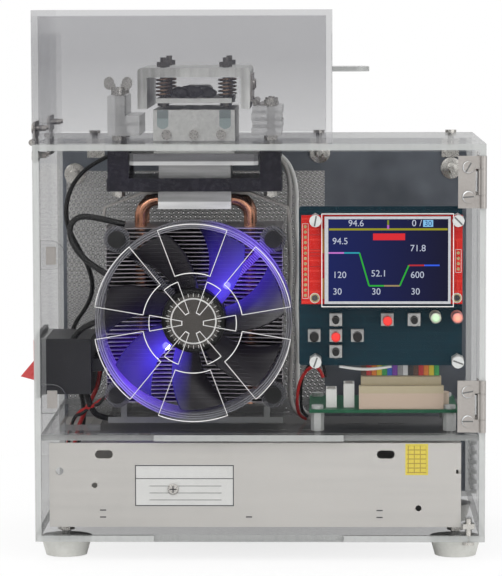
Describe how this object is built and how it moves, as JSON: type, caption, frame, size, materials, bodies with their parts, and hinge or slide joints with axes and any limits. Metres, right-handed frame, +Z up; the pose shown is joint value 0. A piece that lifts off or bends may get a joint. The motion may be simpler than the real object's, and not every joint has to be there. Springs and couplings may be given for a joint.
{
  "type": "thermal cycler",
  "caption": "Bench-top thermal cycler: clear acrylic case, front door with display, fan-cooled block under a hinged clamp and clear cover.",
  "frame": {"origin": "middle of the whole object's footprint, on the surface that the feet stand on", "axes": "+Z up, the door faces -Y, the mains inlet faces -X"},
  "size_m": [0.2272, 0.1446, 0.265],
  "materials": {
    "clear_acrylic": "clear, polished, laser-cut edges",
    "steel": "plain steel",
    "aluminium": "milled",
    "dull_aluminium": "dull folded sheet",
    "perforated_sheet": "fine perforated sheet",
    "copper": "bare copper, dulled",
    "black_plastic": "moulded",
    "smoked_plastic": "smoked, see-through",
    "clear_blue_plastic": "see-through, lit",
    "black_rubber": "soft",
    "grey_rubber": "soft",
    "teal_board": "circuit board",
    "red_board": "circuit board",
    "green_board": "circuit board",
    "screen": "glossy display",
    "white_nylon": "moulded",
    "ceramic": "matt ceramic",
    "board_parts": "moulded connectors",
    "red_plastic": "moulded",
    "lamp_lens": "see-through",
    "wire_cover": "cable cover",
    "ribbon": "many-coloured ribbon",
    "spring_steel": "spring wire"
  },
  "bodies": {
    "case": {"bottom_plate": "clear_acrylic", "left_wall": "clear_acrylic", "right_wall": "clear_acrylic", "top_plate": "clear_acrylic", "shelf": "clear_acrylic", "lower_front_panel": "clear_acrylic", "rear_panel": "perforated_sheet", "case_fixings": "steel", "feet": "grey_rubber", "fixed_hinge_leaves": "steel", "hinge_pins": "steel", "magnet_catches": "clear_acrylic", "sample_block": "aluminium", "peltier_modules": "ceramic", "spreader_plate": "aluminium", "cooler_base": "aluminium", "heat_pipes": "copper", "fin_stack": "aluminium", "cooler_bracket": "black_plastic", "cooler_screws": "steel", "clip_arms": "steel", "cooler_support": "clear_acrylic", "fan_frame": "clear_blue_plastic", "fan_posts": "black_rubber", "left_post": "clear_acrylic", "right_post": "clear_acrylic", "controller_board": "green_board", "board_standoffs": "steel", "board_parts": "board_parts", "power_supply": "dull_aluminium", "mains_inlet": "black_plastic", "wiring": "wire_cover"},
    "front_door": {"door_panel": "clear_acrylic", "door_hinge_leaves": "steel", "strike_plates": "steel", "display_board": "teal_board", "display_fixings": "white_nylon", "screen_board": "red_board", "screen_panel": "screen", "display_parts": "black_plastic", "indicator_lamps": "lamp_lens", "ribbon_cable": "ribbon"},
    "cover": {"cover_box": "clear_acrylic", "cover_tab": "clear_acrylic", "cover_hinge_leaves": "steel"},
    "clamp": {"clamp_channel": "aluminium", "clamp_leaf": "steel", "pressure_springs": "spring_steel"},
    "heater": {"heater_plate": "aluminium", "pressure_screws": "steel"},
    "fan_rotor": {"fan_rotor": "smoked_plastic"},
    "rocker": {"rocker": "red_plastic"},
    "thumb_nut": {"thumb_nut": "steel"},
    "button_1": {"button_1": "black_plastic"},
    "button_2": {"button_2": "red_plastic"},
    "button_3": {"button_3": "black_plastic"},
    "button_4": {"button_4": "black_plastic"},
    "button_5": {"button_5": "black_plastic"},
    "button_6": {"button_6": "red_plastic"},
    "button_7": {"button_7": "black_plastic"}
  },
  "joints": [
    {"name": "door_hinge", "type": "hinge", "parent": "case", "child": "front_door", "pos_m": [0.11201, -0.07076, 0.1289], "axis": [0, 0, 1], "range_deg": [0, 95]},
    {"name": "cover_hinge", "type": "hinge", "parent": "case", "child": "cover", "pos_m": [-0.10509, 0.00079, 0.20125], "axis": [0, -1, 0], "range_deg": [0, 100]},
    {"name": "clamp_hinge", "type": "hinge", "parent": "case", "child": "clamp", "pos_m": [0.00221, 0.01079, 0.2192], "axis": [0, 1, 0], "range_deg": [0, 75]},
    {"name": "heater_float", "type": "slide", "parent": "clamp", "child": "heater", "axis": [0, 0, 1], "range_m": [0, 0.003], "stiffness_N_per_m": 2000, "springref_m": -0.002, "deforming": ["pressure_springs"]},
    {"name": "fan_spin", "type": "hinge", "parent": "case", "child": "fan_rotor", "pos_m": [-0.02704, -0.04921, 0.1152], "axis": [0, 1, 0], "continuous": true},
    {"name": "rocker_tilt", "type": "hinge", "parent": "case", "child": "rocker", "pos_m": [-0.10054, -0.02621, 0.0905], "axis": [0, -1, 0], "range_deg": [0, 40]},
    {"name": "thumb_nut_turn", "type": "hinge", "parent": "case", "child": "thumb_nut", "pos_m": [-0.06504, -0.02421, 0.225], "axis": [0, 0, 1], "continuous": true},
    {"name": "button_1_press", "type": "slide", "parent": "front_door", "child": "button_1", "axis": [0, 1, 0], "range_m": [0, 0.0004], "stiffness_N_per_m": 800, "springref_m": -0.0002},
    {"name": "button_2_press", "type": "slide", "parent": "front_door", "child": "button_2", "axis": [0, 1, 0], "range_m": [0, 0.0004], "stiffness_N_per_m": 800, "springref_m": -0.0002},
    {"name": "button_3_press", "type": "slide", "parent": "front_door", "child": "button_3", "axis": [0, 1, 0], "range_m": [0, 0.0004], "stiffness_N_per_m": 800, "springref_m": -0.0002},
    {"name": "button_4_press", "type": "slide", "parent": "front_door", "child": "button_4", "axis": [0, 1, 0], "range_m": [0, 0.0004], "stiffness_N_per_m": 800, "springref_m": -0.0002},
    {"name": "button_5_press", "type": "slide", "parent": "front_door", "child": "button_5", "axis": [0, 1, 0], "range_m": [0, 0.0004], "stiffness_N_per_m": 800, "springref_m": -0.0002},
    {"name": "button_6_press", "type": "slide", "parent": "front_door", "child": "button_6", "axis": [0, 1, 0], "range_m": [0, 0.0004], "stiffness_N_per_m": 800, "springref_m": -0.0002},
    {"name": "button_7_press", "type": "slide", "parent": "front_door", "child": "button_7", "axis": [0, 1, 0], "range_m": [0, 0.0004], "stiffness_N_per_m": 800, "springref_m": -0.0002}
  ],
  "couplings": [
    {"joint": "clamp_hinge", "follows": "cover_hinge", "ratio": 0.75}
  ]
}
